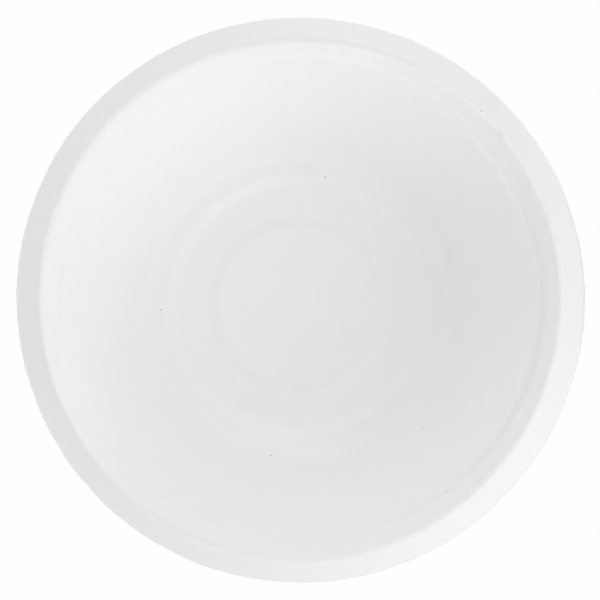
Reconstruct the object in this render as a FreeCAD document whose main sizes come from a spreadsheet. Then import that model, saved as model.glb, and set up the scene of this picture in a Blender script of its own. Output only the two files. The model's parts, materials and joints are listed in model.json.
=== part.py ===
"""Bagasse bowl: one sheet of moulded fibre, pressed to an even wall and turned about +Z.

The half section is drawn as the sheet's upper face, corner by corner, with a parallel lower face one wall
below it. Fillets then round the corner between floor and wall, and a chamfer eases the crest. Sizes are in
millimetres. The origin is the middle of the foot, at table level, and +Z is up.
"""
import FreeCAD, Part
import enum
import math
import os

import Sketcher

SIZES = (
    # alias, millimetres, what it is
    ("overall_diameter", 185.0, "across the trimmed lip"),
    ("bowl_height", 54.0, "table to the top of the rim's crest"),
    ("wall_thickness", 0.8, "pressed fibre, the same everywhere"),
    ("panel_radius", 26.8, "raised centre panel, out to where it starts down"),
    ("panel_rise", 1.2, "table to the underside of the centre panel"),
    ("panel_slope_width", 3.4, "radial width of the panel's sloping edge"),
    ("foot_width", 10.8, "radial width of the flat ring that the bowl stands on"),
    ("riser_width", 3.0, "radial width of the riser round the foot ring"),
    ("shelf_rise", 2.0, "table to the underside of the shelf round the foot"),
    ("shelf_width", 7.0, "riser out to the line where the shelf and wall would meet"),
    ("corner_bend", 8.5, "inside radius of the corner between shelf and wall"),
    ("belly_width", 16.2, "radial width of the wall's lower part"),
    ("belly_height", 24.4, "table to the line where the wall grows steeper"),
    ("collar_setback", 5.95, "crest circle in to the foot of the steep collar"),
    ("collar_depth", 10.7, "crest down to the foot of the steep collar"),
    ("collar_rise", 2.65, "height of the collar"),
    ("collar_lean", 15.0, "degrees that the collar leans out from upright"),
    ("crest_bend", 0.3, "inside radius of the fold at the crest"),
    ("crest_ease", 0.31, "chamfer on each side of the crest's flat top"),
    ("flange_width", 8.9, "crest circle out to the trimmed edge"),
    ("flange_depth", 10.7, "crest down to the underside of the lip"),
    ("lip_width", 0.5, "flat lip that the flange turns out into"),
)

TRIM = "Sizes.overall_diameter / 2"
CREST = f"({TRIM} - Sizes.flange_width)"
FLOOR_FACE = "Sizes.wall_thickness"
PANEL_FACE = "Sizes.panel_rise + Sizes.wall_thickness"
SHELF_FACE = "Sizes.shelf_rise + Sizes.wall_thickness"
LIP_FACE = "Sizes.bowl_height - Sizes.flange_depth + Sizes.wall_thickness"
PANEL_ROOT = "Sizes.panel_radius + Sizes.panel_slope_width"
RISER_ROOT = f"{PANEL_ROOT} + Sizes.foot_width"
RISER_TOP = f"{RISER_ROOT} + Sizes.riser_width"
WALL_ROOT = f"{RISER_TOP} + Sizes.shelf_width"
COLLAR = f"{CREST} - Sizes.collar_setback"
COLLAR_FOOT = "Sizes.bowl_height - Sizes.collar_depth"

# The upper face's corners, out from the axis: name, distance from the axis, height over the table.
BOWL_CORNERS = (
    ("panel_middle", "0", PANEL_FACE),
    ("panel_edge", "Sizes.panel_radius", PANEL_FACE),
    ("panel_root", PANEL_ROOT, FLOOR_FACE),
    ("riser_root", RISER_ROOT, FLOOR_FACE),
    ("riser_top", RISER_TOP, SHELF_FACE),
    ("wall_root", WALL_ROOT, SHELF_FACE),
    ("belly", f"{WALL_ROOT} + Sizes.belly_width", "Sizes.belly_height"),
    ("collar_foot", COLLAR, COLLAR_FOOT),
    ("collar_top", f"{COLLAR} + Sizes.collar_rise * tan(Sizes.collar_lean * 1 deg)",
     f"{COLLAR_FOOT} + Sizes.collar_rise"),
)
LIP_CORNERS = (
    ("flange_foot", f"{TRIM} - Sizes.lip_width", LIP_FACE),
    ("lip_edge", TRIM, LIP_FACE),
)
WALL_RUN = [name for name, across, height in BOWL_CORNERS].index("wall_root")
CREST_RUN = len(BOWL_CORNERS)


class At(enum.IntEnum):
    """The points of a line or circle, as the sketcher numbers them."""
    START = 1
    END = 2
    CENTRE = 3


class Axes(enum.IntEnum):
    """The sketch's own axes, as the sketcher numbers them; the first one starts at the origin."""
    ACROSS = -1
    UPRIGHT = -2


def make_sheet(doc):
    """The driving sizes, one named cell each."""
    sheet = doc.addObject("Spreadsheet::Sheet", "Sizes")
    for row, (alias, value, meaning) in enumerate(SIZES, start=1):
        sheet.set(f"A{row}", meaning)
        sheet.set(f"B{row}", str(value))
        sheet.setAlias(f"B{row}", alias)
    doc.recompute()


def touching_slope(point, centre, radius, side):
    """Slope of the run from a point that touches a circle; side is 1 to pass left of it, -1 right."""
    across, up = centre[0] - point[0], centre[1] - point[1]
    return math.atan2(up, across) + side * math.asin(radius / math.hypot(across, up))


def at_height(point, slope, height):
    """Where the run through a point reaches a height."""
    return point[0] + (height - point[1]) / math.tan(slope), height


def moved_down(run, wall):
    """A run moved by the wall, square to itself, towards the lower face."""
    (x0, z0), (x1, z1) = run
    length = math.hypot(x1 - x0, z1 - z0)
    dx, dz = wall * (z1 - z0) / length, wall * (x0 - x1) / length
    return (x0 + dx, z0 + dz), (x1 + dx, z1 + dz)


def meeting(first, second):
    """Point where two runs cross when they are made longer."""
    (ax, az), (bx, bz) = first
    (cx, cz), (dx, dz) = second
    ux, uz, vx, vz = bx - ax, bz - az, dx - cx, dz - cz
    along = ((cx - ax) * vz - (cz - az) * vx) / (ux * vz - uz * vx)
    return ax + along * ux, az + along * uz


def crest_centre(value):
    """Centre of the fold at the crest."""
    return value(CREST), value("Sizes.bowl_height - Sizes.wall_thickness - Sizes.crest_bend")


def face_corners(value):
    """Where both faces' corners lie at the start; the sketch's own constraints then hold them."""
    wall, top = value("Sizes.wall_thickness"), value("Sizes.bowl_height")
    inner = [(value(across), value(height)) for name, across, height in BOWL_CORNERS]
    outer = [(value(across), value(height)) for name, across, height in LIP_CORNERS]
    radius = value("Sizes.crest_bend") + wall
    band = touching_slope(inner[-1], crest_centre(value), radius, 1)
    flange = touching_slope(outer[0], crest_centre(value), radius, -1)
    crest = [at_height(inner[-1], band, top), at_height(outer[0], flange, top)]
    upper = inner + crest + outer
    below = [moved_down(run, wall) for run in zip(upper, upper[1:])]
    lower = [below[0][0]] + [meeting(*pair) for pair in zip(below, below[1:])] + [below[-1][1]]
    return upper, lower


def draw_chain(sketch, points):
    """Straight runs from point to point, joined end to end; returns their numbers."""
    runs = []
    for start, end in zip(points, points[1:]):
        run = sketch.addGeometry(Part.LineSegment(FreeCAD.Vector(*start, 0), FreeCAD.Vector(*end, 0)))
        if runs:
            sketch.addConstraint(Sketcher.Constraint("Coincident", runs[-1], At.END, run, At.START))
        runs.append(run)
    return runs


def bind(sketch, name, expression, *constraint):
    """Add a named dimension and tie it to the sheet."""
    value = float(sketch.evalExpression(expression))
    index = sketch.addConstraint(Sketcher.Constraint(*constraint, value))
    sketch.renameConstraint(index, name)
    sketch.setExpression("Constraints." + name, expression)


def hold_point(sketch, name, place, across, height):
    """Tie a point to its distance from the axis and its height over the table."""
    if across == "0":
        sketch.addConstraint(Sketcher.Constraint("PointOnObject", *place, Axes.UPRIGHT))
    else:
        bind(sketch, name + "_across", across, "DistanceX", Axes.ACROSS, At.START, *place)
    bind(sketch, name + "_height", height, "DistanceY", Axes.ACROSS, At.START, *place)


def hold_fold(sketch, centre, radius, runs):
    """Keep the lower face's runs at the crest touching one circle, the fold's inside bend."""
    circle = Part.Circle(FreeCAD.Vector(*centre, 0), FreeCAD.Vector(0, 0, 1), radius)
    fold = sketch.addGeometry(circle, True)
    bind(sketch, "fold_across", CREST, "DistanceX", Axes.ACROSS, At.START, fold, At.CENTRE)
    bind(sketch, "fold_radius", "Sizes.crest_bend", "Radius", fold)
    for run in runs:
        sketch.addConstraint(Sketcher.Constraint("Tangent", run, fold))


def draw_section(sketch):
    """The closed half section; returns where its named corners are, as pairs of run and end."""
    def value(expression):
        return float(sketch.evalExpression(expression))

    upper, lower = face_corners(value)
    runs = draw_chain(sketch, upper + lower[::-1] + upper[:1])
    sketch.addConstraint(Sketcher.Constraint("Coincident", runs[-1], At.END, runs[0], At.START))
    trim = len(upper) - 1
    above, below = runs[:trim], runs[trim + 1:-1][::-1]
    for number, (over, under) in enumerate(zip(above, below)):
        sketch.addConstraint(Sketcher.Constraint("Parallel", over, under))
        bind(sketch, f"wall_{number}", "Sizes.wall_thickness", "Distance", under, At.START, over)
    for (name, across, height), run in zip(BOWL_CORNERS, above):
        hold_point(sketch, name, (run, At.START), across, height)
    for (name, across, height), run in zip(LIP_CORNERS, above[CREST_RUN + 1:]):
        hold_point(sketch, name, (run, At.END), across, height)
    sketch.addConstraint(Sketcher.Constraint("Horizontal", above[CREST_RUN]))
    bind(sketch, "crest_height", "Sizes.bowl_height", "DistanceY", Axes.ACROSS, At.START,
         above[CREST_RUN], At.START)
    hold_fold(sketch, crest_centre(value), value("Sizes.crest_bend"), below[CREST_RUN - 1:CREST_RUN + 2])
    sketch.addConstraint(Sketcher.Constraint("Vertical", runs[trim]))
    sketch.addConstraint(Sketcher.Constraint("Vertical", runs[-1]))
    return {"corner_above": (above[WALL_RUN], At.START), "corner_below": (below[WALL_RUN], At.END),
            "crest_inner": (above[CREST_RUN], At.START), "crest_outer": (above[CREST_RUN], At.END)}


def origin_plane(body, role):
    """The body's own base plane with this role."""
    return next(plane for plane in body.Origin.OriginFeatures if plane.Role == role)


def ring_name(shape, sketch, place):
    """Name of the solid's circular edge that a corner of the section turned into."""
    corner = sketch.getPoint(*place)
    for number, edge in enumerate(shape.Edges, start=1):
        centre = edge.CenterOfMass
        reach = edge.Vertexes[0].Point.sub(centre).Length
        if math.isclose(reach, corner.x, abs_tol=0.001) and math.isclose(centre.z, corner.y, abs_tol=0.001):
            return f"Edge{number}"
    raise RuntimeError("no edge of the solid starts at that corner of the section")


def ease(body, kind, name, edges, size, expression):
    """Add a fillet or chamfer over named edges of the body's last feature, with its size from the sheet."""
    last = body.Tip
    feature = body.newObject("PartDesign::" + kind, name)
    feature.Base = (last, edges)
    feature.setExpression(size, expression)
    body.Document.recompute()
    return feature


def make_bowl(doc):
    """The bowl: its half section, turned once round the axis, with its corner and crest eased."""
    body = doc.addObject("PartDesign::Body", "Bowl")
    body.Label = "bowl"
    section = body.newObject("Sketcher::SketchObject", "BowlSection")
    section.AttachmentSupport = (origin_plane(body, "XZ_Plane"), [""])
    section.MapMode = "FlatFace"
    doc.recompute()
    places = draw_section(section)
    doc.recompute()
    if section.solve() != 0 or not section.FullyConstrained:
        raise RuntimeError("the bowl's section is not fully held by its sizes")
    turned = body.newObject("PartDesign::Revolution", "BowlTurned")
    turned.Profile = section
    turned.ReferenceAxis = (section, ["V_Axis"])
    turned.Angle = 360.0
    doc.recompute()

    def rings(*names):
        return [ring_name(body.Shape, section, places[name]) for name in names]

    ease(body, "Chamfer", "CrestEase", rings("crest_inner", "crest_outer"), "Size", "Sizes.crest_ease")
    ease(body, "Fillet", "CornerAbove", rings("corner_above"), "Radius", "Sizes.corner_bend")
    ease(body, "Fillet", "CornerBelow", rings("corner_below"), "Radius",
         "Sizes.corner_bend + Sizes.wall_thickness")
    return body


def check(doc, bodies):
    """Stop if any object failed, or any sub-part isn't one sound solid."""
    for item in doc.Objects:
        if "Invalid" in item.State or "Error" in item.State:
            raise RuntimeError(f"{item.Label} failed: {item.State}")
    for body in bodies:
        shape = body.Shape
        if shape.isNull() or not shape.isValid() or len(shape.Solids) != 1:
            raise RuntimeError(f"{body.Label} is not one sound solid")


def main():
    doc = FreeCAD.newDocument("bagasse_bowl")
    make_sheet(doc)
    bodies = [make_bowl(doc)]
    doc.recompute()
    check(doc, bodies)
    os.makedirs("parts", exist_ok=True)
    for body in bodies:
        body.Shape.exportStep(f"parts/{body.Label}.step")
        box = body.Shape.optimalBoundingBox(False)
        print(f"{body.Label}: {body.Shape.Volume / 1000:.2f} cm3, {box.XLength:.2f} x {box.YLength:.2f} x"
              f" {box.ZLength:.2f} mm, foot at {box.ZMin:.4f}")


main()
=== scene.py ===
"""Bagasse bowl: the pressed sheet with its true bends, its trimmed edge and its fibre, on a pale floor."""

import json
import math
from typing import NamedTuple

import bmesh
import bpy
from bpy.props import FloatProperty, FloatVectorProperty, IntProperty, PointerProperty
from mathutils import Euler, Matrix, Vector, noise
from mathutils.bvhtree import BVHTree


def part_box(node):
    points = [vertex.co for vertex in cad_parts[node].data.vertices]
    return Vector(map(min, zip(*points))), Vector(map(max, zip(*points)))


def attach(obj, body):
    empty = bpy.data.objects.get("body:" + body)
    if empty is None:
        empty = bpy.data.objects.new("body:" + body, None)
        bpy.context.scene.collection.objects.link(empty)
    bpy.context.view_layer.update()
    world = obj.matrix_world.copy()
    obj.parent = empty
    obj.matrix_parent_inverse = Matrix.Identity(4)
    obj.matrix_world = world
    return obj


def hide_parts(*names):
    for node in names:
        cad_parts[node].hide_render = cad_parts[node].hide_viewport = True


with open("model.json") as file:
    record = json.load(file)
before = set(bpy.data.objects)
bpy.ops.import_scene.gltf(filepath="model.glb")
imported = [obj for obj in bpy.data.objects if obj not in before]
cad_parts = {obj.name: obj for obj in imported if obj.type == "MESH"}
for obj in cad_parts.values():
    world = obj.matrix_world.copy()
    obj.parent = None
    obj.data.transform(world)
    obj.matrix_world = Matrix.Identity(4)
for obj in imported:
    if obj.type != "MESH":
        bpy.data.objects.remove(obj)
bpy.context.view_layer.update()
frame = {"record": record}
LOW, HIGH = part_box("bowl")
FIBRE_COLOR = [max(frame["record"]["materials"][0]["base_color"])] * 3

bl_info = {
    "name": "Bagasse bowl",
    "version": (1, 0, 0),
    "blender": (4, 5, 0),
    "location": "3D View > Sidebar > Bowl",
    "description": "Moulded-fibre bowl with a crested rim, and its stage",
    "category": "Add Mesh",
}

MM = 0.001
BODY = "root"


def length(name, millimetres, description):
    """A length property in metres, with its default in millimetres."""
    return FloatProperty(name=name, description=description, default=millimetres * MM, min=0.0,
                         precision=5, subtype="DISTANCE", unit="LENGTH")


class BowlSizes(bpy.types.PropertyGroup):
    """The pressed sheet's section, from the middle of the floor to the trimmed lip."""
    overall_diameter: length("Overall diameter", (HIGH[0] - LOW[0]) / MM, "Across the trimmed lip")
    bowl_height: length("Height", HIGH[2] / MM, "Table to the top of the crest")
    wall_thickness: length("Wall", 0.8, "Thickness of the pressed fibre")
    panel_radius: length("Panel radius", 26.8, "Raised centre panel, out to where it starts down")
    panel_rise: length("Panel rise", 1.2, "Table to the underside of the centre panel")
    panel_slope_width: length("Panel slope", 3.4, "Radial width of the panel's sloping edge")
    panel_bend: length("Panel bend", 4.5, "Radius of the bends at the panel's edge")
    foot_width: length("Foot width", 10.8, "Radial width of the ring that the bowl stands on")
    riser_width: length("Riser width", 3.0, "Radial width of the riser round the foot ring")
    riser_bend: length("Riser bend", 4.4, "Radius of the bends at the riser")
    shelf_rise: length("Shelf rise", 2.0, "Table to the underside of the shelf")
    shelf_width: length("Shelf width", 7.0, "Riser out to where the shelf and wall would meet")
    corner_bend: length("Corner bend", 8.5, "Inside radius between shelf and wall")
    belly_width: length("Belly width", 16.2, "Radial width of the wall's lower part")
    belly_height: length("Belly height", 24.4, "Table to where the wall grows steeper")
    belly_bend: length("Belly bend", 300.0, "Radius of the wall's slow curve")
    collar_setback: length("Collar setback", 5.95, "Crest circle in to the foot of the collar")
    collar_depth: length("Collar depth", 10.7, "Crest down to the foot of the collar")
    collar_rise: length("Collar rise", 2.65, "Height of the collar")
    collar_lean: FloatProperty(name="Collar lean", description="Lean of the collar from upright",
                               default=math.radians(15.0), subtype="ANGLE", unit="ROTATION")
    collar_bend: length("Collar bend", 1.6, "Radius of the bends at the collar")
    crest_bend: length("Crest bend", 1.5, "Outside radius of the fold at the crest")
    flange_width: length("Flange width", 8.9, "Crest circle out to the trimmed edge")
    flange_depth: length("Flange depth", 10.7, "Crest down to the underside of the lip")
    lip_width: length("Lip width", 0.5, "Flat lip that the flange turns out into")
    lip_bend: length("Lip bend", 0.4, "Radius of the bend into the lip")
    around: IntProperty(name="Steps around", description="Faces round the bowl; the rim has twice as many",
                        default=360, min=36)


class SheetFlaws(bpy.types.PropertyGroup):
    """How far the sheet departs from a true turned form."""
    oval: length("Oval", 1.0, "How much narrower the trimmed edge is along Y than along X")
    lobes: length("Lobes", 0.45, "How far the crest stands out at three places round it")
    lobe_bearing: FloatProperty(name="Lobe bearing", description="Bearing of the first lobe",
                                default=math.radians(20.0), subtype="ANGLE", unit="ROTATION")
    trim_wander: length("Trim wander", 0.4, "How far the trimmed edge wanders inwards")
    crest_wander: length("Crest wander", 0.2, "How far the crest wanders in and out")
    crest_shift: FloatVectorProperty(name="Crest shift", description="Crest off the middle of the rim",
                                     size=2, default=(-0.15 * MM, -1.1 * MM), subtype="XYZ", unit="LENGTH")
    wall_wave: length("Wall wave", 0.14, "Slow waves in the wall, across its face")


class FibreFinish(bpy.types.PropertyGroup):
    """Colours and grain of the fibre."""
    fibre_color: FloatVectorProperty(name="Fibre", description="Bleached bagasse", size=3, min=0.0, max=1.0,
                                     default=FIBRE_COLOR, subtype="COLOR")
    speck_color: FloatVectorProperty(name="Speck", description="Unbleached bits in the pulp", size=3,
                                     min=0.0, max=1.0, default=(0.34, 0.32, 0.29), subtype="COLOR")
    roughness: FloatProperty(name="Roughness", description="Of the pressed face", default=0.5, min=0.0,
                             max=1.0, subtype="FACTOR")
    grain: FloatProperty(name="Grain", description="Depth of the felted fibre in millimetres", default=0.03,
                         min=0.0)
    screen_pitch: length("Screen pitch", 0.7, "Wire spacing in the forming screen's print underneath")


class StageLook(bpy.types.PropertyGroup):
    """Floor, lights and camera."""
    floor_color: FloatVectorProperty(name="Floor", description="Pale floor", size=3, min=0.0, max=1.0,
                                     default=(0.68, 0.68, 0.68), subtype="COLOR")
    sky: FloatProperty(name="Sky", description="Strength of the light from all round", default=0.848,
                       min=0.0)
    lamps: FloatProperty(name="Lamps", description="Strength of the soft lamps, all together", default=1.0,
                         min=0.0)
    camera_distance: length("Camera distance", 950.0, "Camera to the middle of the lip's plane")
    camera_aim: FloatVectorProperty(name="Camera aim", description="Where the camera looks, off the axis",
                                    size=2, default=(-0.36 * MM, -0.53 * MM), subtype="XYZ", unit="LENGTH")
    camera_lens: length("Lens", 175.75, "Focal length")
    camera_lean: FloatVectorProperty(name="Camera lean", description="Turn of the camera from straight down",
                                     size=2, default=(math.radians(3.3), math.radians(-1.5)),
                                     subtype="EULER", unit="ROTATION")


# ---- shader graph -----------------------------------------------------------------------------------------

class Signal:
    """An output socket; arithmetic on it adds Math nodes."""

    def __init__(self, graph, socket):
        self.graph, self.socket = graph, socket

    def math(self, operation, *others):
        """This value taken through a Math node, with any other values that it needs."""
        return self.graph.node("Math", dict(enumerate((self, *others))), operation=operation)

    def __add__(self, other):
        return self.math("ADD", other)

    def __sub__(self, other):
        return self.math("SUBTRACT", other)

    def __rsub__(self, other):
        return self * -1.0 + other

    def __mul__(self, other):
        return self.math("MULTIPLY", other)

    __radd__, __rmul__ = __add__, __mul__


class Graph:
    """A material's or world's node tree, cleared and built up by calls."""

    def __init__(self, owner):
        owner.use_nodes = True
        self.tree = owner.node_tree
        self.tree.nodes.clear()

    def node(self, kind, sockets=(), output=0, **settings):
        """Add a node: its settings first, then a value or a link for each named or numbered input."""
        made = self.tree.nodes.new("ShaderNode" + kind)
        for name, value in settings.items():
            setattr(made, name, value)
        for key, value in dict(sockets).items():
            if isinstance(value, Signal):
                self.tree.links.new(value.socket, made.inputs[key])
            else:
                made.inputs[key].default_value = value
        return Signal(self, made.outputs[output]) if made.outputs else None

    def step(self, value, start, end):
        """A smooth step from 0 to 1 as the value goes from start to end."""
        return self.node("MapRange", {"Value": value, "From Min": start, "From Max": end},
                         interpolation_type="SMOOTHSTEP")

    def tint(self, amount, plain, tinted):
        """The plain colour, turned to the tinted one by the amount."""
        return self.node("Mix", {"Factor": amount, 6: plain, 7: tinted}, output=2, data_type="RGBA")

    def cloud(self, place, size, detail=2.0, roughness=0.5):
        """Noise between 0 and 1 whose lumps are about this wide."""
        return self.node("TexNoise", {"Vector": place, "Scale": 1.0 / size, "Detail": detail,
                                      "Roughness": roughness})


# ---- finishes ---------------------------------------------------------------------------------------------

class Mark(NamedTuple):
    """A small round mark on the upper face."""
    bearing: float  # of its middle, in degrees
    reach: float  # from the bowl's axis to its middle, in millimetres
    size: float  # across, in millimetres
    strength: float = 1.0


class Patch(NamedTuple):
    """A long patch of the upper face, strongest at its middle and gone at this far either side of it."""
    reach: float  # from the axis to its middle, in millimetres
    half_width: float  # the same way, in millimetres
    bearing: float  # of its middle, in degrees
    half_angle: float  # in degrees
    strength: float = 1.0


# Unbleached bits in the pulp, and faint damp marks beside the foot ring.
SPECKS = (Mark(46, 83.3, 0.42), Mark(78, 44.5, 0.45), Mark(182, 46.3, 0.4), Mark(315, 58.3, 0.45),
          Mark(260, 51.5, 0.5), Mark(307, 78.4, 0.6))
DAMP_MARKS = (Mark(86, 47.2, 3.4), Mark(294, 37.6, 4.6, strength=0.4))
SPECK_BLUR, DAMP_BLUR = 0.4, 0.6  # share of a mark's size that its blurred edge takes

# The fibre's patterns and roughness.
MOTTLE_SIZE = 4 * MM
FELT_SIZE = 0.6 * MM
STREAK_WIDTH = 0.7  # millimetres across the rim
STREAK_SHORTENING = 0.3  # millimetres of pattern for each degree round the rim
UNDER_ROUGHER = 0.15  # how much rougher the under face is than the pressed one
TRIM_ROUGHNESS = 0.9
MOTTLED, STREAKED = (0.35, 0.75), (0.52, 0.68)  # the noise's value where each starts and where it is whole

# Painted highlight on the collar, partly broken up by the streaks, and painted shade in a line along the
# collar.
PAINTED_HIGHLIGHT_IN_STREAKS = (Patch(76.9, 2.2, 35, 32),)
PAINTED_HIGHLIGHT = (Patch(78.5, 1.6, 72, 62, strength=0.6), Patch(80.4, 2.4, 76, 10, strength=0.5))
PAINTED_SHADE_COLLAR = (Patch(78.6, 1.5, -25, 58),)
PAINTED_SHADE_DRIFT = 0.02  # millimetres that the painted shade line moves out for each degree round
# Painted shade on the crest, measured from the crest's own middle.
PAINTED_CREST_SHADE, PAINTED_CREST_SHADE_HALF_WIDTH = 83.5, 1.9
PAINTED_CREST_SHADE_BACK = (Patch(83.6, 1.4, 80, 40, strength=0.9),)
PAINTED_DEEP_CREST_SHADE = (Patch(83.5, 1.5, -124, 38),)
# Painted light on the floor and wall.
PAINTED_LIGHT_PANEL_EDGE = (Patch(29.8, 4, -60, 70), Patch(37, 7, -78, 45, strength=0.5))
PAINTED_LIGHT_WALL = (Patch(46, 11, -100, 60), Patch(46, 11, 122, 40, strength=0.3),
             Patch(77.5, 7, -158, 22, strength=0.6))
# Small forms of the upper face: a band of streaks by the crest, also painted lighter as painted highlight,
# wrinkles on the crest and a crease by the lip.
STREAK_AND_HIGHLIGHT_BAND = (Patch(80.5, 6.5, 52, 26),)
WRINKLED_CREST = (Patch(82.6, 2.4, 39.5, 2.8),)
WRINKLES_OUT, WRINKLES_ROUND = 6.6, 3.2  # radians of wave for each millimetre out, and for each degree round
CREASE_BEARING, CREASE_HALF_ANGLE = 79, 0.28
# Rings, in millimetres from the axis or the crest's middle: where each starts, and from where it is whole.
# The middle panel's painted shade fades in over this ring.
PANEL = (30, 18)
LEDGE, LEDGE_BACK = (73.6, 76.0), (77.6, 76.0)
COLLAR_SWELL = (77.8, 79.6)
FOLD_AND_FLANGE, FLANGE = (83.1, 83.8), (84.2, 85.5)
CREASED = (85.5, 87.5)
LIP = (91.3, 91.9)
# Heights and depths in the faces' relief, in millimetres.
SWELL_HEIGHT = 0.4
WRINKLE_HEIGHT = 0.1
CREASE_DEPTH = 0.05
STREAK_HEIGHT = 0.05
MOTTLE_HEIGHT, UNDER_MOTTLE_HEIGHT = 0.025, 0.08
WIRE_HEIGHT = 0.015


class Sheet(Graph):
    """A fibre material's graph, with the places on the bowl that its marks are set out from."""

    def __init__(self, material):
        super().__init__(material)
        self.place = self.node("TexCoord", output="Object")
        self.x, self.y = (self.node("SeparateXYZ", {0: self.place}, output=axis) for axis in "XY")
        self.reach = self.distance_from((0.0, 0.0))
        self.crest_reach = self.distance_from(bpy.context.scene.bowl_flaws.crest_shift)
        self.bearing = self.y.math("ARCTAN2", self.x) * (180 / math.pi)
        self.mottle = self.cloud(self.place, MOTTLE_SIZE, detail=3.0, roughness=0.6)
        self.felt = self.cloud(self.place, FELT_SIZE, detail=3.0, roughness=0.65)
        round_rim = self.node("CombineXYZ", {0: self.reach, 1: self.bearing * STREAK_SHORTENING})
        self.streaks = self.step(self.cloud(round_rim, STREAK_WIDTH), *STREAKED)

    def distance_from(self, middle):
        """Millimetres across from an upright line through this place."""
        x, y = self.x - middle[0], self.y - middle[1]
        return (x * x + y * y).math("SQRT") * (1 / MM)

    def hump(self, value, middle, half):
        """1 where the value is at the middle, falling smoothly to 0 at this far either side."""
        return self.step((value - middle).math("ABSOLUTE"), half, 0.0)

    def toward(self, degrees, half_angle):
        """1 at this bearing, falling smoothly to 0 at this many degrees either side."""
        return self.hump(self.bearing, degrees, half_angle)

    def patches(self, patches, distance=None):
        """All these patches together, with their distances taken from the axis or as another value says."""
        distance = distance or self.reach
        return sum(self.hump(distance, patch.reach, patch.half_width)
                   * self.toward(patch.bearing, patch.half_angle) * patch.strength for patch in patches)

    def spots(self, marks, soft):
        """The marks' strengths inside them and 0 elsewhere; soft is the share that a blurred edge takes."""
        total = 0.0
        for centre, size, strength in marks:
            away = self.node("VectorMath", {0: self.place, 1: centre}, output="Value", operation="DISTANCE")
            spot = self.step(away, size / 2 * (1 + soft) * MM, size / 2 * (1 - soft) * MM)
            total = spot * strength + total
        return total

    def mottled(self, plain, spotted):
        """The plain colour, with soft patches of the other."""
        return self.tint(self.step(self.mottle, *MOTTLED), plain, spotted)


def shade(color, share):
    """A colour with its brightness cut to this share, with alpha."""
    return (*(channel * share for channel in color), 1.0)


def collar_light_and_shade(sheet):
    """Painted highlight and painted shade on the collar, each with its brightness against the plain fibre.
    """
    # The collar is lighter where light falls on it, partly broken up by the streaks: painted highlight.
    painted_highlight = sheet.patches(PAINTED_HIGHLIGHT_IN_STREAKS) * (sheet.streaks * 0.5 + 0.5) + sheet.patches(PAINTED_HIGHLIGHT)
    # A darker line along the collar on its side away from the light: painted shade.
    painted_shade = sheet.patches(PAINTED_SHADE_COLLAR, sheet.reach - sheet.bearing * PAINTED_SHADE_DRIFT)
    return (painted_highlight, 1.05), (painted_shade, 0.965)


def crest_shading(sheet):
    """Painted shade on the crest, each with its brightness against the plain fibre."""
    outwards = sheet.toward(25, 40) * 0.9 + sheet.toward(-105, 35) * 0.7
    front, back = sheet.step((sheet.bearing + 35).math("ABSOLUTE"), 60, 35), sheet.toward(82, 42)
    # The crest is darker round most of its length and at its back: painted shade.
    painted_crest_shade = sheet.hump(sheet.crest_reach - outwards, PAINTED_CREST_SHADE, PAINTED_CREST_SHADE_HALF_WIDTH) \
        * (1 - front) * (1 - back) + sheet.patches(PAINTED_CREST_SHADE_BACK, sheet.crest_reach)
    # A deeper painted shade on one side of the crest.
    return (painted_crest_shade, 0.965), (sheet.patches(PAINTED_DEEP_CREST_SHADE, sheet.crest_reach), 0.915)


def flange_light_and_shade(sheet):
    """Painted light and painted shade on the flange, and painted shade on its lip, each with its brightness.
    """
    flange = sheet.step(sheet.crest_reach, *FLANGE)
    # The fold and flange are lighter on the sides toward the light: painted light.
    painted_light = sheet.step(sheet.crest_reach, *FOLD_AND_FLANGE) * sheet.toward(-40, 44) \
        + flange * sheet.toward(80, 44)
    # The lip's edge is darker on two stretches, where its shadow falls: painted shade.
    painted_lip_shade = sheet.step(sheet.reach, *LIP) * (sheet.toward(5, 34) + sheet.toward(-52, 30) * 0.5)
    # The flange is darker on its side away from the light: painted shade.
    return (painted_light, 1.035), (flange * sheet.toward(-112, 46), 0.96), (painted_lip_shade, 0.92)


def floor_light_and_shade(sheet):
    """Painted light on the floor and wall, and painted shade over the panel, each with its brightness."""
    # Painted light on the panel's edge and the wall, and painted shade over the middle panel.
    panel = sheet.step(sheet.reach, *PANEL)
    return (sheet.patches(PAINTED_LIGHT_PANEL_EDGE), 1.03), (sheet.patches(PAINTED_LIGHT_WALL), 1.035), (panel, 0.982)


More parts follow.
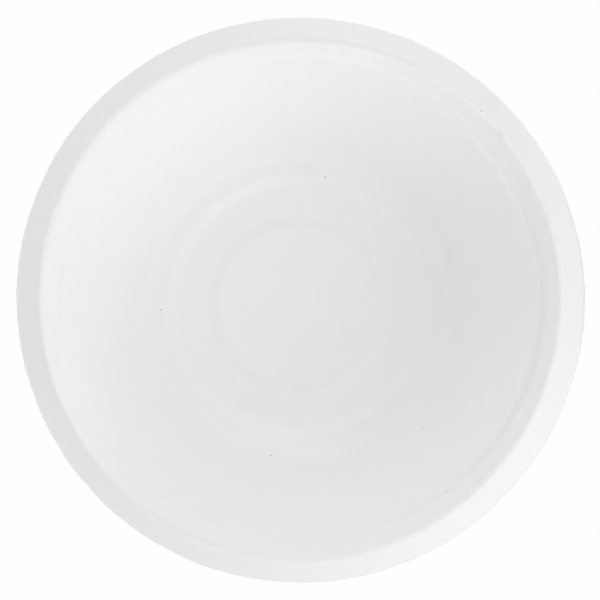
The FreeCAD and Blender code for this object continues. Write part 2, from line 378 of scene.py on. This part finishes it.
def pressed_face(sheet, finish, specks, damp_marks):
    """The upper face, smooth and faintly mottled, with painted light and shade in its colour: its colour,
    and its relief in millimetres.
    """
    ledge = sheet.step(sheet.reach, *LEDGE) * sheet.step(sheet.reach, *LEDGE_BACK) \
        * (sheet.toward(30, 24) * 0.2 + sheet.toward(98, 34) * 0.14)
    swell = sheet.step(sheet.reach, *COLLAR_SWELL) * sheet.toward(-24, 52)
    waves = (sheet.reach * WRINKLES_OUT - sheet.bearing * WRINKLES_ROUND).math("SINE")
    wrinkles = waves * sheet.patches(WRINKLED_CREST)
    # The crease is dented in the relief, and its colour is also painted a shade darker: painted shade.
    crease = sheet.toward(CREASE_BEARING, CREASE_HALF_ANGLE) * sheet.step(sheet.reach, *CREASED)
    # The band's streaks are raised in the relief and also painted lighter: painted highlight.
    streaks_and_highlight = sheet.streaks * sheet.patches(STREAK_AND_HIGHLIGHT_BAND)
    relief = ledge + swell * SWELL_HEIGHT + wrinkles * WRINKLE_HEIGHT - crease * CREASE_DEPTH \
        + streaks_and_highlight * STREAK_HEIGHT + sheet.felt * finish.grain + sheet.mottle * MOTTLE_HEIGHT
    color = sheet.mottled(shade(finish.fibre_color, 1.0), shade(finish.fibre_color, 0.99))
    damp = sheet.spots(damp_marks, DAMP_BLUR)
    # The colour is tinted in turn: painted light and painted shade on the collar, crest, flange, lip,
    # crease, floor, wall and streaks, then the real damp stains.
    for amount, share in (*collar_light_and_shade(sheet), *crest_shading(sheet), *flange_light_and_shade(sheet), (crease, 0.975),
                          *floor_light_and_shade(sheet), (streaks_and_highlight, 1.03), (damp, 0.977)):
        color = sheet.tint(amount, color, shade(finish.fibre_color, share))
    return sheet.tint(sheet.spots(specks, SPECK_BLUR), color, shade(finish.speck_color, 1.0)), relief


def screened_face(sheet, finish):
    """The under face: rougher, with the print of the forming screen's wires."""
    wires = [(axis * (math.tau / finish.screen_pitch)).math("SINE") for axis in (sheet.x, sheet.y)]
    relief = sheet.felt * finish.grain * 2.0 + sheet.mottle * UNDER_MOTTLE_HEIGHT \
        + wires[0] * wires[1] * WIRE_HEIGHT
    return sheet.mottled(shade(finish.fibre_color, 0.99), shade(finish.fibre_color, 0.96)), relief


def trimmed_face(sheet, finish):
    """The cut edge: torn fibre ends, a little darker."""
    color = sheet.tint(sheet.felt, shade(finish.fibre_color, 0.97), shade(finish.fibre_color, 0.88))
    return color, sheet.felt * finish.grain * 4.0


def fibre(name, face, finish, roughness, *marks):
    """A fibre material from one face's colour and relief, and any marks on it."""
    material = bpy.data.materials.new(name)
    sheet = Sheet(material)
    color, relief = face(sheet, finish, *marks)
    bump = sheet.node("Bump", {"Height": relief, "Distance": MM})
    shader = sheet.node("BsdfPrincipled", {"Base Color": color, "Roughness": roughness, "Normal": bump,
                                           "Specular IOR Level": 0.5, "Diffuse Roughness": 0.3})
    sheet.node("OutputMaterial", {"Surface": shader})
    return material


# ---- the sheet --------------------------------------------------------------------------------------------

BEND_STEP = math.radians(9)  # turn of each face round a bend
FEWEST_BEND_STEPS = 3
LONGEST_RUN = 2.2 * MM  # of a face, out along the section
FINE_RIM = 11.5 * MM  # in from the lip, where the faces are halved round the bowl
WELD = 0.001 * MM

# The flaws' spread: how far in from the crest, the lip or the wall's ends each one fades.
CREST_FADE = 7 * MM
TRIM_FADE = 1.6 * MM
WALL_FADE = 12 * MM
WALL_WAVE_LENGTH = 24 * MM
LOBE_COUNT = 3
LIP_LOBES = 0.37  # the lip's lobes as a share of the crest's
NOISE_GAIN = 1.6  # brings the noise to between -1 and 1
# Ripples round the bowl: share of the wander, lumps all round, and seed.
TRIM_RIPPLES = ((0.45, 26, 3.0), (0.4, 90, 5.0), (0.5, 230, 8.0))
CREST_RIPPLES = ((0.5, 24, 12.0), (0.6, 70, 14.0), (0.5, 190, 17.0))


def touching_slope(point, centre, radius, side):
    """Slope of the run from a point that touches a circle; side is 1 to pass left of it, -1 right."""
    across, up = centre[0] - point[0], centre[1] - point[1]
    return math.atan2(up, across) + side * math.asin(radius / math.hypot(across, up))


def section_corners(sizes):
    """The upper face's corners, out from the axis, as (across, up, radius of the bend there)."""
    wall, top = sizes.wall_thickness, sizes.bowl_height
    rim = sizes.overall_diameter / 2
    crest = rim - sizes.flange_width
    shelf = sizes.shelf_rise + wall
    panel_root = sizes.panel_radius + sizes.panel_slope_width
    riser_root = panel_root + sizes.foot_width
    riser_top = riser_root + sizes.riser_width
    wall_root = riser_top + sizes.shelf_width
    collar, collar_foot = crest - sizes.collar_setback, top - sizes.collar_depth
    collar_top = (collar + sizes.collar_rise * math.tan(sizes.collar_lean), collar_foot + sizes.collar_rise)
    flange_foot = (rim - sizes.lip_width, top - sizes.flange_depth + wall)
    fold = (crest, top - sizes.crest_bend)
    band = math.tan(touching_slope(collar_top, fold, sizes.crest_bend, 1))
    flange = math.tan(touching_slope(flange_foot, fold, sizes.crest_bend, -1))
    crest_x = (flange_foot[1] - collar_top[1] + band * collar_top[0]
               - flange * flange_foot[0]) / (band - flange)
    crest_z = collar_top[1] + band * (crest_x - collar_top[0])
    return ((0.0, sizes.panel_rise + wall, 0.0),
            (sizes.panel_radius, sizes.panel_rise + wall, sizes.panel_bend),
            (panel_root, wall, sizes.panel_bend),
            (riser_root, wall, sizes.riser_bend),
            (riser_top, shelf, sizes.riser_bend),
            (wall_root, shelf, sizes.corner_bend),
            (wall_root + sizes.belly_width, sizes.belly_height, sizes.belly_bend),
            (collar, collar_foot, sizes.collar_bend),
            (*collar_top, sizes.collar_bend),
            (crest_x, crest_z, sizes.crest_bend),
            (*flange_foot, sizes.lip_bend),
            (rim, flange_foot[1], 0.0))


def draw_wire(bm, corners):
    """The section as a wire of straight runs, each corner rounded to its own radius."""
    points = [bm.verts.new((across, 0.0, up)) for across, up, radius in corners]
    for start, end in zip(points, points[1:]):
        bm.edges.new((start, end))
    for point, (across, up, radius) in zip(points[1:-1], corners[1:-1]):
        back, on = (edge.other_vert(point).co - point.co for edge in point.link_edges)
        turn = math.pi - back.angle(on)
        bmesh.ops.bevel(bm, geom=[point], offset=radius * math.tan(turn / 2), offset_type="OFFSET",
                        segments=max(FEWEST_BEND_STEPS, round(turn / BEND_STEP)), profile=0.5,
                        affect="VERTICES", clamp_overlap=False, material=-1)


def cut_long_runs(bm):
    """Cut the wire's long edges into even lengths."""
    for edge in bm.edges[:]:
        cuts = math.ceil(edge.calc_length() / LONGEST_RUN) - 1
        if cuts > 0:
            bmesh.ops.subdivide_edges(bm, edges=[edge], cuts=cuts)


def bearing(point):
    """Angle of a point round the axis, from +X towards +Y."""
    return math.atan2(point.y, point.x)


def ripple(angle, lumps, seed):
    """Smooth random value from -1 to 1 that closes on itself round the bowl, with about this many lumps."""
    reach = lumps / math.tau
    return noise.noise(Vector((reach * math.cos(angle), reach * math.sin(angle), seed))) * NOISE_GAIN


def wander(angle, ripples):
    """Ripples of several sizes together, each with its share."""
    return sum(share * ripple(angle, lumps, seed) for share, lumps, seed in ripples)


def smooth(value, start, end):
    """0 before start, 1 after end, and a smooth step between."""
    share = min(max((value - start) / (end - start), 0.0), 1.0)
    return share * share * (3 - 2 * share)


def spin_sheet(bm, steps):
    """Turn the wire once round the axis, close its seam and its pole, and face it upwards."""
    bmesh.ops.spin(bm, geom=bm.verts[:] + bm.edges[:], cent=(0, 0, 0), axis=(0, 0, 1), angle=math.tau,
                   steps=steps, use_merge=True)
    bmesh.ops.remove_doubles(bm, verts=bm.verts[:], dist=WELD)
    bmesh.ops.recalc_face_normals(bm, faces=bm.faces[:])
    middle = min(bm.faces, key=lambda face: face.calc_center_median().xy.length)
    if middle.normal.z < 0:
        bmesh.ops.reverse_faces(bm, faces=bm.faces[:])


def double_rim(bm, inner, steps):
    """Halve the faces round the rim, so that its edge can carry the trim's small waves."""
    def runs_round(edge):
        reach = [vert.co.xy.length for vert in edge.verts]
        return min(reach) > inner and abs(reach[0] - reach[1]) < WELD

    around = [edge for edge in bm.edges if runs_round(edge)]
    halves = bmesh.ops.subdivide_edges(bm, edges=around, cuts=1)
    for part in halves["geom_inner"]:
        if isinstance(part, bmesh.types.BMVert):
            part.co.xy /= math.cos(math.pi / steps)


def rough_up(bm, sizes, flaws):
    """Move the turned sheet's points as drying and trimming do: waves, an oval rim, a wandering trim."""
    bm.normal_update()
    rim = sizes.overall_diameter / 2
    crest = rim - sizes.flange_width
    foot_end = sizes.panel_radius + sizes.panel_slope_width + sizes.foot_width + sizes.riser_width
    for point in bm.verts:
        reach, angle, normal = point.co.xy.length, bearing(point.co), point.normal.copy()
        if reach < MM:
            continue
        outward = Vector((point.co.x, point.co.y, 0.0)) / reach
        at_rim = smooth(reach, crest, rim)
        at_crest = smooth(reach, crest - CREST_FADE, crest) * (1 - smooth(reach, crest, rim - MM))
        at_trim = smooth(reach, rim - TRIM_FADE, rim)
        in_wall = smooth(reach, foot_end, foot_end + WALL_FADE) \
            * (1 - smooth(reach, crest - WALL_FADE, crest))
        wave = noise.noise(point.co / WALL_WAVE_LENGTH) * flaws.wall_wave
        point.co += normal * wave * in_wall
        point.co.y -= outward.y * flaws.oval / 2 * at_rim
        lobe = math.cos(LOBE_COUNT * (angle - flaws.lobe_bearing)) * flaws.lobes
        point.co += outward * (lobe * at_crest + LIP_LOBES * (lobe - flaws.lobes) * at_rim)
        point.co += outward * flaws.crest_wander * at_crest * wander(angle, CREST_RIPPLES)
        point.co.xy += Vector(flaws.crest_shift) * at_crest
        point.co -= outward * flaws.trim_wander * at_trim * (0.5 + 0.5 * wander(angle, TRIM_RIPPLES))


def keep_inside(bm, rim, top):
    """Bring back any point that a flaw moved out of the bowl's overall size."""
    for point in bm.verts:
        point.co.z = min(max(point.co.z, 0.0), top)
        point.co.xy *= min(1.0, rim / max(point.co.xy.length, MM))


def laid_on(bm, marks):
    """Each mark's centre, dropped on the sheet from above, with its size and strength."""
    surface, down = BVHTree.FromBMesh(bm), Vector((0.0, 0.0, -1.0))
    over = [Vector((mark.reach * MM, 0.0, 1.0)) for mark in marks]
    for place, mark in zip(over, marks):
        place.rotate(Euler((0.0, 0.0, math.radians(mark.bearing))))
    return [(surface.ray_cast(place, down)[0], mark.size, mark.strength) for place, mark in zip(over, marks)]


def add_piece(name, bm, materials):
    """Make the mesh an object at the origin, smoothly shaded."""
    mesh = bpy.data.meshes.new(name)
    bm.to_mesh(mesh)
    bm.free()
    mesh.shade_smooth()
    for material in materials:
        mesh.materials.append(material)
    piece = bpy.data.objects.new(name, mesh)
    bpy.context.scene.collection.objects.link(piece)
    return piece


class BOWL_OT_sheet(bpy.types.Operator):
    """Press the bowl's sheet of fibre and trim its lip."""
    bl_idname = "bowl.sheet"
    bl_label = "Bowl sheet"

    def execute(self, context):
        sizes, flaws, finish = context.scene.bowl_sizes, context.scene.bowl_flaws, context.scene.bowl_finish
        rim, top = sizes.overall_diameter / 2, sizes.bowl_height
        bm = bmesh.new()
        draw_wire(bm, section_corners(sizes))
        cut_long_runs(bm)
        spin_sheet(bm, sizes.around)
        double_rim(bm, rim - FINE_RIM, sizes.around)
        rough_up(bm, sizes, flaws)
        keep_inside(bm, rim, top)
        marks = laid_on(bm, SPECKS), laid_on(bm, DAMP_MARKS)
        upper = set(bm.faces)
        shell = bmesh.ops.solidify(bm, geom=bm.faces[:], thickness=sizes.wall_thickness)
        under = {part for part in shell["geom"] if isinstance(part, bmesh.types.BMFace)}
        for face in bm.faces:
            face.material_index = 0 if face in upper else 1 if face in under else 2
        keep_inside(bm, rim, top)
        under_roughness = min(1.0, finish.roughness + UNDER_ROUGHER)
        materials = (fibre("pressed_fibre", pressed_face, finish, finish.roughness, *marks),
                     fibre("screened_fibre", screened_face, finish, under_roughness),
                     fibre("trimmed_fibre", trimmed_face, finish, TRIM_ROUGHNESS))
        sheet = add_piece("bowl_sheet", bm, materials)
        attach(sheet, BODY)
        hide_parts("bowl")
        return {"FINISHED"}


# ---- the stage --------------------------------------------------------------------------------------------

# Soft lamps: name, strength, bearing round the bowl and height over the floor, both in degrees.
LAMPS = (("front", 0.58, 302, 26), ("back", 0.25, 92, 26), ("right", 0.13, 350, 42))
LAMP_SPREAD = math.radians(40)
WHITE = (1.0, 1.0, 1.0, 1.0)
FLOOR_WHITENESS = 0.98  # the rest of what the eye sees is the floor's own light, with the bowl's shadow
FLOOR_HALF_WIDTH = 3.0
CAMERA_REACH = 10.0


def seen_directly(graph):
    """1 for rays from the camera, in gloss or through glass, and 0 for the light that falls on things."""
    kinds = [graph.node("LightPath", output=f"Is {kind} Ray")
             for kind in ("Camera", "Glossy", "Transmission")]
    return kinds[0].math("MAXIMUM", kinds[1]).math("MAXIMUM", kinds[2])


def pale_floor(look):
    """White to the eye, but it still takes the bowl's shadow."""
    material = bpy.data.materials.new("pale_floor")
    graph = Graph(material)
    plain = graph.node("BsdfDiffuse", {"Color": tuple(look.floor_color) + (1.0,)})
    white = graph.node("Emission", {"Color": WHITE, "Strength": 1.0})
    shader = graph.node("MixShader", {"Fac": seen_directly(graph) * FLOOR_WHITENESS, 1: plain, 2: white})
    graph.node("OutputMaterial", {"Surface": shader})
    return material


def pale_world(look):
    """Even light from all round, white where it is seen directly."""
    world = bpy.data.worlds.new("pale_world")
    graph = Graph(world)
    light = graph.node("Background", {"Color": WHITE, "Strength": look.sky})
    white = graph.node("Background", {"Color": WHITE, "Strength": 1.0})
    shader = graph.node("MixShader", {"Fac": seen_directly(graph), 1: light, 2: white})
    graph.node("OutputWorld", {"Surface": shader})
    return world


def soft_lamp(name, strength, degrees, elevation):
    """A wide soft light from a bearing round the bowl and a height over the floor."""
    lamp = bpy.data.lights.new(name, "SUN")
    lamp.energy = strength
    lamp.angle = LAMP_SPREAD
    light = bpy.data.objects.new(name, lamp)
    light.rotation_euler = Euler((0.0, math.radians(90 - elevation), math.radians(degrees)))
    bpy.context.scene.collection.objects.link(light)


def add_camera(look, target):
    """A long lens almost straight over the bowl."""
    turn = Euler((*look.camera_lean, 0.0))
    camera = bpy.data.objects.new("camera", bpy.data.cameras.new("camera"))
    camera.data.lens = look.camera_lens / MM
    camera.data.clip_end = CAMERA_REACH
    camera.location = target + turn.to_matrix() @ Vector((0.0, 0.0, look.camera_distance))
    camera.rotation_euler = turn
    bpy.context.scene.collection.objects.link(camera)
    bpy.context.scene.camera = camera


class BOWL_OT_stage(bpy.types.Operator):
    """Lay the pale floor, set the soft lights and stand the camera over the bowl."""
    bl_idname = "bowl.stage"
    bl_label = "Stage"

    def execute(self, context):
        sizes, look = context.scene.bowl_sizes, context.scene.bowl_stage
        bm = bmesh.new()
        bmesh.ops.create_grid(bm, x_segments=1, y_segments=1, size=FLOOR_HALF_WIDTH)
        floor = add_piece("floor", bm, (pale_floor(look),))
        context.scene.world = pale_world(look)
        for name, strength, degrees, elevation in LAMPS:
            soft_lamp(name, strength * look.lamps, degrees, elevation)
        add_camera(look, Vector((*look.camera_aim, sizes.bowl_height - sizes.flange_depth)))
        context.scene.view_settings.view_transform = "Standard"
        return {"FINISHED"}


class BOWL_PT_panel(bpy.types.Panel):
    """Sizes, finish and stage of the bowl."""
    bl_label = "Bagasse bowl"
    bl_idname = "BOWL_PT_panel"
    bl_space_type = "VIEW_3D"
    bl_region_type = "UI"
    bl_category = "Bowl"

    def draw(self, context):
        for name in GROUPS:
            group = getattr(context.scene, name)
            for setting in group.bl_rna.properties:
                if setting.identifier not in ("name", "rna_type"):
                    self.layout.prop(group, setting.identifier)
        for operator in (BOWL_OT_sheet, BOWL_OT_stage):
            self.layout.operator(operator.bl_idname)


GROUPS = {"bowl_sizes": BowlSizes, "bowl_flaws": SheetFlaws, "bowl_finish": FibreFinish,
          "bowl_stage": StageLook}
CLASSES = (*GROUPS.values(), BOWL_OT_sheet, BOWL_OT_stage, BOWL_PT_panel)


def register():
    for made in CLASSES:
        bpy.utils.register_class(made)
    for name, group in GROUPS.items():
        setattr(bpy.types.Scene, name, PointerProperty(type=group))


def unregister():
    for name in GROUPS:
        delattr(bpy.types.Scene, name)
    for made in reversed(CLASSES):
        bpy.utils.unregister_class(made)


def main():
    register()
    bpy.ops.bowl.sheet()
    bpy.ops.bowl.stage()


if __name__ == "__main__":
    main()
